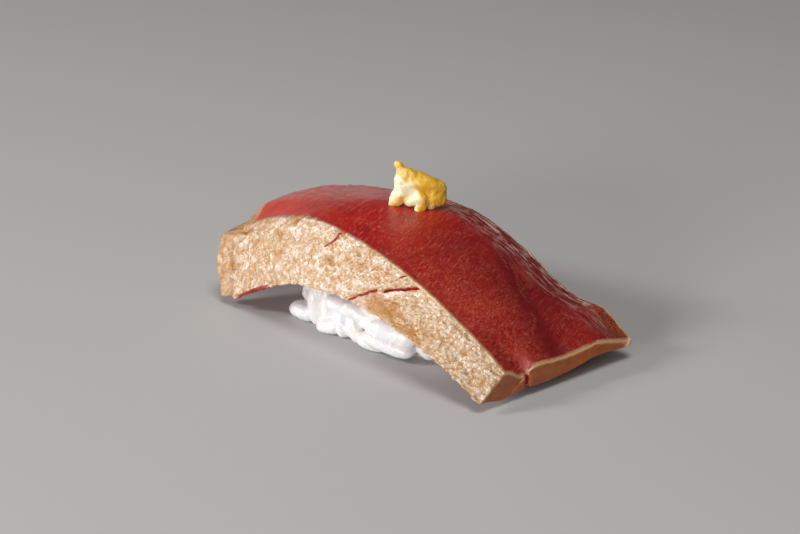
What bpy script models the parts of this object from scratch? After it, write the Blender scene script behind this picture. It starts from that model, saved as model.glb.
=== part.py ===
"""A tuna nigiri: a seared-edge slice of lean tuna draped over a pressed pad of rice, with a dab of mustard.

X runs along the slice, Y across it, away from the side that shows its seared edge, and Z up from the board.
Lengths here are in millimetres, and MM turns them into Blender's metres where a mesh is made.
"""

import math
import random

import bmesh
import bpy
import numpy as np
from mathutils import Euler, Matrix, Vector, noise
from mathutils.bvhtree import BVHTree

MM = 0.001
# The gap between the pieces, and what is added to it because facets bridge between a mesh's points.
CLEARANCE = 0.3
FACET_MARGIN = 0.1
SEED = 11

# The slice seen from above: its top edges and its ends.
NEAR_EDGE_Y = -10.6
FAR_EDGE_LEFT_Y = 14.4
FAR_EDGE_RIGHT_Y = 17.4
LEFT_END_NEAR_X = -31.5
LEFT_END_FAR_X = -34.6
RIGHT_END_NEAR_X = 32.0
RIGHT_END_FAR_X = 33.8

# The lip that stands out of the left end's near corner: how far to the left and to the near side, its length
# as a share of half the slice, and the depths between which it steps out.
LEFT_LIP = 2.8
NEAR_LIP = 1.8
LIP_HALF_LENGTH = 0.13
LIP_STEP = (0.11, 0.15)

# The slice seen from the side: it arches over the rice and droops to both ends.
PEAK_HEIGHT = 18.5
PEAK_ALONG = -0.35
LEFT_DROP = 6.2
RIGHT_DROP = 13.6
LEFT_FALL_POWER = 1.8
RIGHT_FALL_POWER = 1.8
CROWN = 0.7
LEFT_RISE = 2.1
RIGHT_FLARE = 0.4
CORNER_DROOP = 1.6
END_DIP = 0.8
END_SAG = 1.4
# How much of the sag at the right end its underside follows.
SAG_BELOW = 0.5
# Each dip of the far edge, or rise if less than 0: its depth, its place along the slice and its half length.
FAR_DIPS = ((1.4, -0.6, 0.35), (-0.5, 0.07, 0.15), (2.0, 0.66, 0.2))

# The slice's cut: it is a wedge, thick at the left and near side, with its near face bevelled outwards.
THICK_LEFT = 13.3
THICK_RIGHT = 3.5
TAPER_POWER = 1.3
FAR_THINNING = 0.36
CORNER_THINNING = 0.55
LEFT_LIFT = 0.14
LEFT_UNDERCUT = 2.0
RIGHT_SPREAD = 0.6
BEVEL_LEFT = 6.3
BEVEL_RIGHT = 6.4
BULGE_LEFT = 0.5
FAR_BEVEL = 1.5

# Mesh cells of the slice along, across and through it, the passes that round its edges, and its final size.
SLICE_CELLS = (150, 44, 16)
EDGE_PASSES = 3
SLICE_TRIANGLES = 5600

# The seared crust stands out in crags of this height and size.
CRUST_RELIEF = 0.4
CRUST_SCALE = 2.2
# Each crack: its depth and half width, then its points as places along, across and through the slice.
CRACKS = (
    (0.9, 0.45, ((-0.20, -1.0, 0.98), (-0.19, -1.0, 0.66), (-0.21, -1.0, 0.36))),
    (1.1, 0.55, ((0.39, -1.0, 0.89), (0.33, -1.0, 0.55), (0.235, -1.0, 0.04))),
    (0.9, 0.45, ((0.18, -1.0, -0.12), (0.10, -1.0, -0.56), (0.025, -1.0, -0.91))),
    (0.7, 0.45, ((0.305, -1.0, 1.0), (0.275, -1.0, 0.75))),
    (0.7, 0.60, ((-0.91, -1.0, 0.56), (-0.92, -1.0, -0.1), (-0.93, -1.0, -0.95))),
    (0.6, 0.60, ((-0.945, -1.0, 0.66), (-0.685, -1.0, 0.46), (-0.51, -1.0, 0.52))),
    (0.9, 0.45, ((1.0, -0.68, 1.0), (1.0, -0.52, 0.2), (1.0, -0.38, -0.9))),
)

# The rice: a pressed pad under the slice, whose core lies one grain's half width inside its outline.
PAD_CENTRE = (-1.2, -1.0)
PAD_HALF_LENGTH = 19.8
PAD_HALF_WIDTH = 10.6
PAD_HEIGHT = 15.0
PAD_SQUARENESS = 3.2
PAD_CELLS = (22, 16, 8)
# The pad's ends are drawn in by this much at the board, up to this height.
END_UNDERCUT = 5.0
UNDERCUT_HEIGHT = 4.5
CORE_INSET = 1.4
GRAIN_LENGTH = 7.0
GRAIN_WIDTH = 3.3
GRAIN_THICKNESS = 2.8
GRAIN_BLUNTNESS = 0.6
GRAIN_ROWS = 5
GRAINS_PER_ROW = 25
FIRST_ROW_HEIGHT = 1.3
GRAIN_ROW_HEIGHT = 2.1
GRAIN_LEANS = (0.0, 15.0, -20.0, 45.0, 75.0)
GRAIN_HEADROOM = 1.6
LOWEST_GRAIN = 0.06
# The grains that show at the near side: length, middle (x, y, z), then lean out of the level and turn from X.
FRONT_GRAINS = (
    (6.8, (-15.2, -11.2, 1.4), 1, 0),
    (7.6, (-12.1, -10.9, 3.1), -78, 0),
    (7.2, (-8.8, -10.9, 4.2), -87, 0),
    (7.0, (-10.4, -10.2, 5.8), -80, 0),
    (6.2, (-5.6, -10.9, 5.2), -12, 12),
    (6.4, (-5.2, -11.2, 2.6), -72, 5),
    (5.6, (-7.6, -11.8, 1.2), 14, 10),
    (6.4, (-1.6, -11.0, 5.2), -15, 20),
    (6.0, (-1.6, -11.3, 2.4), -65, 10),
    (9.4, (7.2, -11.4, 4.3), -6, 12),
    (9.8, (7.0, -11.9, 2.2), -7, 15),
    (6.0, (2.8, -11.8, 1.4), -4, 20),
    (5.2, (12.0, -9.0, 2.2), -20, 0),
    (7.0, (-2.6, -10.5, 1.4), -10, 4),
    (7.0, (2.2, -10.6, 4.4), 10, 5),
    (7.0, (2.4, -10.2, 7.2), 4, 0),
    (6.8, (-12.6, -10.0, 6.6), 20, 0),
    (5.0, (15.0, -8.6, 2.6), 20, -20),
)

# The dab of mustard, turned on the slice. Its soft lumps: radius, then across, away and up from its foot.
MUSTARD_FOOT = (-4.9, 6.6)
MUSTARD_TURN = 47.0
MUSTARD_RESOLUTION = 0.72
MUSTARD_THRESHOLD = 0.3
MUSTARD_SWELL = 1.35
MUSTARD_GRAIN = 0.22
MUSTARD_GRAIN_SCALE = 0.9
MUSTARD_LUMPS = (
    (0.80, (-3.9, 0.2, 7.3)),
    (1.00, (-3.6, 0.2, 6.5)),
    (1.20, (-2.8, 0.2, 6.1)),
    (1.30, (-1.9, 0.2, 5.7)),
    (1.25, (-3.4, 0.2, 5.5)),
    (1.50, (-3.2, 0.2, 4.4)),
    (1.45, (-3.4, 0.1, 3.1)),
    (1.35, (-3.9, 0.1, 1.9)),
    (1.05, (-4.5, 0.2, 0.8)),
    (1.60, (-0.8, 0.2, 5.1)),
    (1.70, (-1.6, 0.4, 3.8)),
    (1.70, (0.3, 0.2, 4.6)),
    (1.70, (1.5, 0.3, 4.2)),
    (1.40, (2.6, 0.6, 3.9)),
    (2.20, (2.3, 1.0, 2.4)),
    (2.05, (1.3, 0.9, 1.6)),
    (1.80, (-0.4, 0.8, 1.9)),
    (1.45, (-0.8, -0.8, 2.1)),
    (1.35, (-0.3, -1.4, 0.4)),
    (2.05, (-1.2, 1.6, 1.5)),
    (1.90, (0.8, 1.9, 1.5)),
)


def smooth(value, low, high):
    """0 below low, 1 above high and a smooth step between them."""
    share = np.clip((value - low) / (high - low), 0.0, 1.0)
    return share * share * (3.0 - 2.0 * share)


def hump(value, centre, width):
    """A bell of height 1."""
    return np.exp(-(((value - centre) / width) ** 2))


def arch(along):
    """Height of the slice's top edges, from -1 at the left end to 1 at the right end."""
    left = np.clip((PEAK_ALONG - along) / (PEAK_ALONG + 1.0), 0.0, None) ** LEFT_FALL_POWER
    right = np.clip((along - PEAK_ALONG) / (1.0 - PEAK_ALONG), 0.0, None) ** RIGHT_FALL_POWER
    return PEAK_HEIGHT - LEFT_DROP * left - RIGHT_DROP * right


def end_sag(along, across):
    """Depth of the facet that is pressed into the top of the right end, beside its crack."""
    return END_SAG * hump(along, 1.0, 0.1) * hump(across, -0.72, 0.14)


def top_height(along, across):
    """Height of the slice's top face: the arch, its crown and the turns of its far edge and right end."""
    crown = CROWN * (1.0 - smooth(along, 0.3, 1.0)) * (1.0 - across**2)
    rise = LEFT_RISE * hump(along, -1.0, 0.3) * smooth(across, -1.0, -0.5)
    rise = rise * (1.0 - 0.4 * smooth(across, 0.5, 1.0))
    dips = sum(depth * hump(along, place, width) for depth, place, width in FAR_DIPS)
    fall = dips * smooth(across, -0.3, 0.9)
    flare = RIGHT_FLARE * hump(along, 0.82, 0.06) * smooth(across, 0.5, 1.0)
    droop = CORNER_DROOP * smooth(along, 0.82, 1.0) * smooth(across, 0.4, 1.0)
    dip = END_DIP * smooth(along, 0.7, 1.0) * hump(across, -0.1, 0.5)
    return arch(along) + crown + rise - fall + flare - droop - dip - end_sag(along, across)


def thickness(along, across):
    """Upright thickness of the slice."""
    near = THICK_RIGHT + (THICK_LEFT - THICK_RIGHT) * ((1.0 - along) / 2.0) ** TAPER_POWER
    thin_far = 1.0 - FAR_THINNING * (across + 1.0) / 2.0
    thin_tip = 1.0 - CORNER_THINNING * smooth(along, 0.5, 1.0) * smooth(across, 0.2, 1.0)
    left_round = 1.0 - LEFT_LIFT * smooth(-along, 0.86, 1.0)
    return near * thin_far * thin_tip * left_round - (1.0 - SAG_BELOW) * end_sag(along, across)


def slice_point(along, across, through):
    """A point of the slice. Each argument runs from -1 to 1: left to right, near to far, bottom to top."""
    share = (across + 1.0) / 2.0
    depth = (1.0 - through) / 2.0
    far_y = FAR_EDGE_LEFT_Y + (FAR_EDGE_RIGHT_Y - FAR_EDGE_LEFT_Y) * smooth(along, 0.4, 1.0)
    bevel = BEVEL_LEFT + (BEVEL_RIGHT - BEVEL_LEFT) * (along + 1.0) / 2.0
    at_left = hump(along, -1.0, LIP_HALF_LENGTH)
    bulge = 1.0 - BULGE_LEFT * smooth(-along, -0.2, 1.0) * (1.0 - 0.8 * at_left)
    lip = smooth(depth, *LIP_STEP) * (1.0 - 0.6 * smooth(depth, 0.2, 1.0))
    lip = lip * at_left * hump(across, -1.0, 0.25)
    near_face_y = NEAR_EDGE_Y - bevel * depth**bulge
    far_face_y = far_y - FAR_BEVEL * depth
    y = near_face_y + (far_face_y - near_face_y) * share - NEAR_LIP * lip
    left_x = LEFT_END_NEAR_X + (LEFT_END_FAR_X - LEFT_END_NEAR_X) * share**0.4
    left_x = left_x + LEFT_UNDERCUT * smooth(depth, 0.5, 1.0)
    right_x = RIGHT_END_NEAR_X + (RIGHT_END_FAR_X - RIGHT_END_NEAR_X) * share + RIGHT_SPREAD * depth
    x = left_x + (right_x - left_x) * (along + 1.0) / 2.0 - LEFT_LIP * lip
    z = top_height(along, across) - thickness(along, across) * depth
    return np.stack([x, y, z], axis=-1)


def material(name, colour, roughness):
    """A plain Principled material."""
    made = bpy.data.materials.new(name)
    made.use_nodes = True
    shader = made.node_tree.nodes["Principled BSDF"]
    shader.inputs["Base Color"].default_value = (*colour, 1.0)
    shader.inputs["Roughness"].default_value = roughness
    shader.inputs["Metallic"].default_value = 0.0
    return made


def new_object(name, shape, collection, materials):
    """A smooth-shaded object from a bmesh whose points are in millimetres."""
    bmesh.ops.recalc_face_normals(shape, faces=shape.faces)
    mesh = bpy.data.meshes.new(name)
    shape.to_mesh(mesh)
    shape.free()
    mesh.transform(Matrix.Scale(MM, 4))
    for finish in materials:
        mesh.materials.append(finish)
    mesh.shade_smooth()
    made = bpy.data.objects.new(name, mesh)
    collection.objects.link(made)
    return made


def grid_cube(cells):
    """A cube from -1 to 1 whose edges along X, Y and Z are cut into so many cells."""
    shape = bmesh.new()
    bmesh.ops.create_cube(shape, size=2.0)
    for axis, count in enumerate(cells):
        edges = [edge for edge in shape.edges if abs(edge.verts[0].co[axis] - edge.verts[1].co[axis]) > 1.0]
        bmesh.ops.subdivide_edges(shape, edges=edges, cuts=count - 1, use_grid_fill=True)
    return shape


def distance_to_path(points, path):
    """Distance of each point from a path of straight stretches."""
    nearest = np.full(len(points), np.inf)
    for start, end in zip(path[:-1], path[1:]):
        run = end - start
        share = np.clip((points - start) @ run / (run @ run), 0.0, 1.0)
        gap = np.linalg.norm(points - start - share[:, None] * run, axis=1)
        nearest = np.minimum(nearest, gap)
    return nearest


def crust_relief(points, cube_points):
    """How far the seared faces stand out at each point: crags, less the cracks. The right end is smooth."""
    along, across = cube_points[:, 0], cube_points[:, 1]
    side = np.maximum(np.abs(across), np.clip(-along, 0.0, None) ** 3)
    crags = np.array([noise.fractal(Vector(point / CRUST_SCALE), 0.8, 2.1, 3) for point in points])
    relief = CRUST_RELIEF * crags * smooth(side, 0.95, 1.0)
    for depth, half_width, places in CRACKS:
        path = slice_point(*np.array(places).T)
        relief = relief - depth * np.exp(-((distance_to_path(points, path) / half_width) ** 2))
    return relief


def build_slice(collection):
    """The slice of tuna: a cut cube bent to its arched wedge, with a craggy, cracked seared edge."""
    shape = grid_cube(SLICE_CELLS)
    for face in shape.faces:
        face.material_index = 0 if abs(face.normal.z) > 0.5 else 1
    cube_points = np.array([vert.co for vert in shape.verts])
    for vert, place in zip(shape.verts, slice_point(*cube_points.T)):
        vert.co = place
    every_axis = {"use_axis_x": True, "use_axis_y": True, "use_axis_z": True}
    for _ in range(EDGE_PASSES):
        bmesh.ops.smooth_vert(shape, verts=shape.verts, factor=0.5, **every_axis)
    shape.normal_update()
    relief = crust_relief(np.array([vert.co for vert in shape.verts]), cube_points)
    outward = [vert.normal.copy() for vert in shape.verts]
    for vert, normal, height in zip(shape.verts, outward, relief):
        vert.co = vert.co + normal * height
    red = material("lean_tuna", (0.26, 0.025, 0.02), 0.35)
    seared = material("seared_tuna", (0.66, 0.42, 0.24), 0.5)
    made = new_object("tuna_slice", shape, collection, (red, seared))
    thin = made.modifiers.new("Thin out", "DECIMATE")
    thin.ratio = SLICE_TRIANGLES / (2.0 * len(made.data.polygons))
    return made


def surface_height(tree, x, y, from_below):
    """Height at which an upright line first meets the slice, from below or from above, or None."""
    start = Vector((x, y, -100.0 if from_below else 100.0)) * MM
    direction = Vector((0.0, 0.0, 1.0 if from_below else -1.0))
    hit = tree.ray_cast(start, direction)[0]
    return None if hit is None else hit.z / MM


def tuck_under(shape, tree, lowest):
    """Presses what would reach the slice flat under it, and what would reach the board flat above it."""
    for vert in shape.verts:
        ceiling = surface_height(tree, vert.co.x, vert.co.y, True)
        if ceiling is not None and vert.co.z > ceiling - CLEARANCE - FACET_MARGIN:
            excess = vert.co.z - (ceiling - CLEARANCE - FACET_MARGIN)
            vert.co.z = vert.co.z - excess + 0.1 * excess / (1.0 + excess)
        if vert.co.z < lowest:
            depth = lowest - vert.co.z
            vert.co.z = lowest - 0.03 * depth / (1.0 + depth)


def half_length(height, inset):
    """Half the pad's length at a height above the board, less the distance inside its outline."""
    undercut = END_UNDERCUT * (1.0 - smooth(height, 0.0, UNDERCUT_HEIGHT))
    return PAD_HALF_LENGTH - inset - undercut


def pad_outline(turn, height, inset):
    """A point of the pad's outline, a rounded rectangle: its turn from X, height and distance inside it."""
    power = 2.0 / PAD_SQUARENESS
    x = math.copysign(abs(math.cos(turn)) ** power, math.cos(turn)) * half_length(height, inset)
    y = math.copysign(abs(math.sin(turn)) ** power, math.sin(turn)) * (PAD_HALF_WIDTH - inset)
    return PAD_CENTRE[0] + x, PAD_CENTRE[1] + y


def pad_core(tree):
    """The pad without its outer grains: a cut cube with rounded sides, its top fitted under the slice."""
    shape = grid_cube(PAD_CELLS)
    for vert in shape.verts:
        x, y, z = vert.co
        size = (abs(x) ** PAD_SQUARENESS + abs(y) ** PAD_SQUARENESS) ** (1.0 / PAD_SQUARENESS)
        shrink = max(abs(x), abs(y)) / size if size > 0.0 else 1.0
        reach_y = PAD_CENTRE[1] + y * shrink * (PAD_HALF_WIDTH - CORE_INSET)
        reach_x = PAD_CENTRE[0] + x * shrink * half_length(PAD_HEIGHT, CORE_INSET)
        room = surface_height(tree, reach_x, reach_y, True) - CLEARANCE - 2.0 * FACET_MARGIN
        height = (z + 1.0) / 2.0 * min(PAD_HEIGHT, room)
        vert.co = (PAD_CENTRE[0] + x * shrink * half_length(height, CORE_INSET), reach_y, height)
    tuck_under(shape, tree, 0.0)
    return shape


def grain(length, middle, lean, turn, tree):
    """One grain of rice: a small ellipsoid that leans out of the level and turns from X, in degrees."""
    shape = bmesh.new()
    bmesh.ops.create_uvsphere(shape, u_segments=6, v_segments=4, radius=0.5)
    for vert in shape.verts:
        vert.co.xy *= 1.0 + GRAIN_BLUNTNESS * abs(vert.co.z)
    size = Matrix.Diagonal((GRAIN_THICKNESS, GRAIN_WIDTH, length, 1.0))
    aim = Euler((0.0, math.radians(90.0 - lean), math.radians(turn))).to_matrix().to_4x4()
    shape.transform(Matrix.Translation(middle) @ aim @ size)
    tuck_under(shape, tree, LOWEST_GRAIN)
    return shape


def is_front(x, y):
    """Whether a grain of the even spread would lie where the front grains are placed one by one."""
    return y < PAD_CENTRE[1] - 5.0 and -14.0 < x < 15.5


def spread_grains(tree):
    """The rest of the outer grains: rows round the pad, one above the other, a little uneven."""
    draw = random.Random(SEED)
    for row in range(GRAIN_ROWS):
        for step in range(GRAINS_PER_ROW):
            turn = 2.0 * math.pi * (step + 0.5 * (row % 2) + draw.uniform(-0.2, 0.2)) / GRAINS_PER_ROW
            z = FIRST_ROW_HEIGHT + GRAIN_ROW_HEIGHT * row + draw.uniform(-0.4, 0.4)
            x, y = pad_outline(turn, z, CORE_INSET + draw.uniform(-0.1, 0.4))
            ahead_x, ahead_y = pad_outline(turn + 0.05, z, CORE_INSET)
            behind_x, behind_y = pad_outline(turn - 0.05, z, CORE_INSET)
            heading = math.degrees(math.atan2(ahead_y - behind_y, ahead_x - behind_x))
            heading = heading + draw.uniform(-20.0, 20.0)
            lean = draw.choice(GRAIN_LEANS) + draw.uniform(-10.0, 10.0)
            length = GRAIN_LENGTH * draw.uniform(0.85, 1.12)
            ceiling = surface_height(tree, x, y, True)
            if is_front(x, y) or ceiling is None or z > ceiling - GRAIN_HEADROOM:
                continue
            yield length, (x, y, z), lean, heading


def keep_outer_body(shape):
    """Leaves only the largest connected body: no loose scraps, and no skins of sealed hollows."""
    unseen = set(shape.verts)
    bodies = []
    while unseen:
        stack = [unseen.pop()]
        body = set(stack)
        while stack:
            for edge in stack.pop().link_edges:
                for vert in edge.verts:
                    if vert in unseen:
                        unseen.remove(vert)
                        body.add(vert)
                        stack.append(vert)
        bodies.append(body)
    outer = max(bodies, key=len)
    loose = [vert for vert in shape.verts if vert not in outer]
    bmesh.ops.delete(shape, geom=loose, context="VERTS")


def build_rice(collection, cutters, tree):
    """The pad of rice: its core and its outer grains, fused by one union into one body."""
    white = material("rice", (0.80, 0.77, 0.72), 0.4)
    pad = new_object("rice_pad", pad_core(tree), collection, (white,))
    for length, middle, lean, turn in (*FRONT_GRAINS, *spread_grains(tree)):
        new_object("grain", grain(length, middle, lean, turn, tree), cutters, ())
    fuse = pad.modifiers.new("Fuse grains", "BOOLEAN")
    fuse.operation = "UNION"
    fuse.operand_type = "COLLECTION"
    fuse.collection = cutters
    depsgraph = bpy.context.evaluated_depsgraph_get()
    fused = bpy.data.meshes.new_from_object(pad.evaluated_get(depsgraph))
    pad.modifiers.clear()
    for piece in list(cutters.objects):
        bpy.data.objects.remove(piece)
    shape = bmesh.new()
    shape.from_mesh(fused)
    keep_outer_body(shape)
    shape.to_mesh(pad.data)
    shape.free()
    pad.data.shade_smooth()
    return pad


def mustard_shape():
    """The dab as one skin over its lumps, made in millimetres."""
    balls = bpy.data.metaballs.new("lumps")
    balls.resolution = MUSTARD_RESOLUTION
    balls.threshold = MUSTARD_THRESHOLD
    for radius, middle in MUSTARD_LUMPS:
        ball = balls.elements.new()
        ball.co = middle
        ball.radius = radius * MUSTARD_SWELL
    lumps = bpy.data.objects.new("lumps", balls)
    bpy.context.scene.collection.objects.link(lumps)
    bpy.context.view_layer.update()
    depsgraph = bpy.context.evaluated_depsgraph_get()
    skin = bpy.data.meshes.new_from_object(lumps.evaluated_get(depsgraph))
    bpy.data.objects.remove(lumps)
    shape = bmesh.new()
    shape.from_mesh(skin)
    return shape


def build_mustard(collection, tree):
    """The dab of mustard: its lumps, roughened, turned and set down on the slice."""
    shape = mustard_shape()
    shape.normal_update()
    rough = [(vert, noise.noise(vert.co / MUSTARD_GRAIN_SCALE) * vert.normal) for vert in shape.verts]
    for vert, shift in rough:
        vert.co = vert.co + shift * MUSTARD_GRAIN
    turn = Matrix.Rotation(math.radians(MUSTARD_TURN), 4, "Z")
    shape.transform(Matrix.Translation((*MUSTARD_FOOT, 0.0)) @ turn)
    for vert in shape.verts:
        sunk = min(vert.co.z, 0.0)
        raised = max(vert.co.z, 0.0)
        floor = surface_height(tree, vert.co.x, vert.co.y, False)
        vert.co.z = floor + CLEARANCE + 1.5 * FACET_MARGIN + raised + 0.1 * sunk / (1.0 - sunk)
    yellow = material("mustard", (0.78, 0.58, 0.20), 0.5)
    return new_object("mustard_dab", shape, collection, (yellow,))


def main():
    for thing in list(bpy.data.objects):
        bpy.data.objects.remove(thing)
    collection = bpy.data.collections.new("tuna_nigiri")
    cutters = bpy.data.collections.new("fused_pieces")
    bpy.context.scene.collection.children.link(collection)
    bpy.context.scene.collection.children.link(cutters)
    tuna = build_slice(collection)
    depsgraph = bpy.context.evaluated_depsgraph_get()
    tree = BVHTree.FromObject(tuna, depsgraph)
    build_rice(collection, cutters, tree)
    build_mustard(collection, tree)


main()
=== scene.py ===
"""The looks of a tuna nigiri: a seared-edge slice of lean tuna over rice, with a dab of mustard on top.

X runs along the slice, Y across it, away from the side that shows its seared edge, and Z up from the floor.
Lengths here are in millimetres, and MM turns them into the scene's metres where a mesh is made.
"""

import math
import random

import bmesh
import bpy
import numpy as np
from mathutils import Euler, Matrix, Vector, noise
from mathutils.bvhtree import BVHTree


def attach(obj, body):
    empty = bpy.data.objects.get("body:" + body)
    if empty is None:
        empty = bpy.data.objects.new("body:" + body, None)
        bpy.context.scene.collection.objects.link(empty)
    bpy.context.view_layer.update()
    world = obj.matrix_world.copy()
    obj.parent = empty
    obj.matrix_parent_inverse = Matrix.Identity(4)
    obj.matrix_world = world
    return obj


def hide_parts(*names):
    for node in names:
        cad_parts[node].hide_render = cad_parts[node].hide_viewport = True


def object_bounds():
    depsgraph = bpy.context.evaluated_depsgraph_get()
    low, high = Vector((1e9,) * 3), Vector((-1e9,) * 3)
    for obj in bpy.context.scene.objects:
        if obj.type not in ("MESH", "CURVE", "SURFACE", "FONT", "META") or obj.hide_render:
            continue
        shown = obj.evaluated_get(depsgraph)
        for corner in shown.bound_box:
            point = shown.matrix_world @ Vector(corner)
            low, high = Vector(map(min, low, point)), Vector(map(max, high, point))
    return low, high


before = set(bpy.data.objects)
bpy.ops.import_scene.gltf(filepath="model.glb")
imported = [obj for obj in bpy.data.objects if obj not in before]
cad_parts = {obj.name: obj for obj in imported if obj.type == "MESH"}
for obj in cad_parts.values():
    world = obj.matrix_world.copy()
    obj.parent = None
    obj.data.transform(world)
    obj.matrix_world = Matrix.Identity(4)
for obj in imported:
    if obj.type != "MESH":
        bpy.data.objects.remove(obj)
cad_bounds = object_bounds()

MM = 0.001
SEED = 11

# The slice seen from above: its top edges and its ends.
NEAR_EDGE_Y = -10.6
FAR_EDGE_LEFT_Y = 14.4
FAR_EDGE_RIGHT_Y = 17.4
LEFT_END_NEAR_X = -31.5
LEFT_END_FAR_X = -34.6
RIGHT_END_NEAR_X = 32.0
RIGHT_END_FAR_X = 33.8

# The lip of the left end's near corner: how far it stands out to the left and to the near side, its length
# as a share of half the slice, and the depths between which it steps out.
LEFT_LIP = 2.8
NEAR_LIP = 1.8
LIP_HALF_LENGTH = 0.13
LIP_STEP = (0.11, 0.15)

# The slice seen from the side: it arches over the rice and droops to both ends.
PEAK_HEIGHT = 18.5
PEAK_ALONG = -0.35
LEFT_DROP = 6.2
RIGHT_DROP = 13.6
FALL_POWER = 1.8
CROWN = 0.7
LEFT_RISE = 2.1
RIGHT_FLARE = 0.4
CORNER_DROOP = 1.6
END_DIP = 0.8
# The facet pressed into the top of the right end: its depth, and the underside's share of it.
END_SAG = 1.4
SAG_BELOW = 0.5
# Each dip of the far edge, or rise if less than 0: its depth, its place along the slice and its half length.
FAR_DIPS = ((1.4, -0.6, 0.35), (-0.5, 0.07, 0.15), (2.0, 0.66, 0.2))

# The slice's cut: it is a wedge, thick at the left and near side, with its near face bevelled outwards.
THICK_LEFT = 13.3
THICK_RIGHT = 3.5
TAPER_POWER = 1.3
FAR_THINNING = 0.36
CORNER_THINNING = 0.55
LEFT_LIFT = 0.14
LEFT_UNDERCUT = 2.0
RIGHT_SPREAD = 0.6
BEVEL_LEFT = 6.3
BEVEL_RIGHT = 6.4
BULGE_LEFT = 0.5
FAR_BEVEL = 1.5

# Mesh cells of the slice along, across and through it. The near face gets twice as many.
SLICE_CELLS = (230, 86, 40)
# Half the slice's length and width, roughly, and the radius of its edges.
HALF_LENGTH = 33.5
HALF_WIDTH = 13.5
EDGE_RADIUS = 0.5
# How far the look of a side face runs over the edge.
EDGE_FADE = 0.5

# The seared crust: heights of its features, and sizes of some.
CRAG_RELIEF = 0.18
WRINKLE_RELIEF = 0.21
BEAD_RELIEF = 0.18
LUMP_RELIEF = 0.22
STRIPE_RELIEF = 0.05
FLAKE_RELIEF = 0.03
GRAIN_RELIEF = 0.04
CRUMB_RELIEF = 0.9
END_RELIEF = 0.05
CRAG_SIZE = 2.2
BEAD_SIZE = 0.75
SMALL_BEAD_SIZE = 0.45
DOME_STEEPNESS = 1.6
FIBRE_SPACING = 0.55
# Winding ridges of the crust: size, half width and the shift of their noise.
FINE_WORMS = (0.75, 0.30, 1.3)
BROAD_WORMS = (1.25, 0.32, 5.9)
# Noise that shifts the crust's features, and its cracks and pale lines: size and shifts.
WARP = (1.6, (3.1, 7.7, 12.3))
WOBBLE = (0.9, (40.0, 50.0, 60.0))
WARP_REACH = 0.5
CRACK_WOBBLE = 0.15
ARC_WOBBLE = 0.3
# The near face is lumpy before the first stretch along it and beaded past the second.
LUMPY_END = (-0.6, -0.3)
BEADED_START = (0.48, 0.62)
# Each crack: its depth and half width, then its points as places along, across and through the slice.
CRACKS = (
    (0.5, 0.17, ((-0.20, -1.0, 0.98), (-0.21, -1.0, 0.66), (-0.25, -1.0, 0.40))),
    (0.8, 0.26, ((0.39, -1.0, 0.89), (0.33, -1.0, 0.55), (0.235, -1.0, 0.04))),
    (0.6, 0.20, ((0.18, -1.0, -0.12), (0.10, -1.0, -0.56), (0.025, -1.0, -0.91))),
    (0.4, 0.16, ((0.305, -1.0, 1.0), (0.275, -1.0, 0.75))),
    (0.8, 0.26, ((1.0, -0.68, 1.0), (1.0, -0.52, 0.2), (1.0, -0.38, -0.9))),
)
# Soft folds, laid out as the cracks are.
FOLDS = (
    (0.9, 0.55, ((-0.89, -1.0, 0.75), (-0.92, -1.0, 0.30), (-0.90, -1.0, -0.2), (-0.93, -1.0, -0.95))),
    (0.3, 0.60, ((-0.945, -1.0, 0.66), (-0.685, -1.0, 0.46), (-0.51, -1.0, 0.52))),
    (0.12, 0.30, ((0.77, -1.0, -0.10), (0.81, -1.0, -0.20), (0.87, -1.0, -0.30))),
)
# Painted highlights: white glare lines beside the main crack, laid out as the cracks are.
GLARES = (
    (0.0, 0.42, ((0.25, -1.0, -0.14), (0.285, -1.0, 0.10))),
    (0.0, 0.36, ((0.295, -1.0, 0.18), (0.33, -1.0, 0.42))),
    (0.0, 0.15, ((0.40, -1.0, 0.62), (0.45, -1.0, 0.60))),
    (0.0, 0.15, ((0.44, -1.0, 0.42), (0.49, -1.0, 0.46))),
)
# Browner spots of the near face: place along and through it, then half sizes in the same units.
BROWN_SPOTS = (
    (-0.91, 0.76, 0.05, 0.12), (-0.625, 0.58, 0.04, 0.12),
    (-0.55, -0.03, 0.03, 0.14), (-0.535, 0.885, 0.03, 0.10),
    (-0.195, 0.98, 0.03, 0.10), (0.02, 0.295, 0.05, 0.14),
    (0.12, 0.55, 0.04, 0.16), (-0.165, -0.035, 0.06, 0.16),
    (0.26, -0.62, 0.14, 0.30), (0.46, -0.80, 0.12, 0.20),
    (0.20, -0.30, 0.06, 0.25), (0.31, -0.20, 0.05, 0.18),
    (0.38, -0.45, 0.07, 0.20), (0.56, -0.30, 0.05, 0.18),
)
# Other patches of the near face, laid out as the brown spots are.
SMOOTH_PATCHES = ((0.26, -0.75, 0.16, 0.38), (0.43, -0.85, 0.14, 0.28))
STRIPED_PATCHES = ((0.47, 0.55, 0.10, 0.42), (0.34, 0.22, 0.05, 0.20))
FLAKES = ((0.79, -0.02, 0.05, 0.22),)
# The raw strip at the near face's foot: where it fades in, and its middle and half length.
RAW_EDGE_FADE = (0.80, 0.88)
RAW_EDGE_ALONG = (-0.76, 0.14)
# Pale lines on the top face: half width, then points as places along and across it.
PALE_ARCS = (
    (0.13, ((0.28, 0.60), (0.38, 0.50), (0.47, 0.41))),
    (0.13, ((0.55, 0.32), (0.60, 0.24), (0.68, 0.13))),
    (0.13, ((0.74, 0.03), (0.815, -0.10), (0.85, -0.24))),
    (0.12, ((0.44, 0.52), (0.56, 0.36), (0.64, 0.25))),
    (0.11, ((-0.16, -0.52), (-0.10, -0.64), (-0.03, -0.565), (0.03, -0.50))),
    (0.10, ((-0.02, -0.72), (0.04, -0.60), (0.12, -0.62))),
    (0.45, ((0.80, 0.44), (0.825, 0.47))),
)

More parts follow.
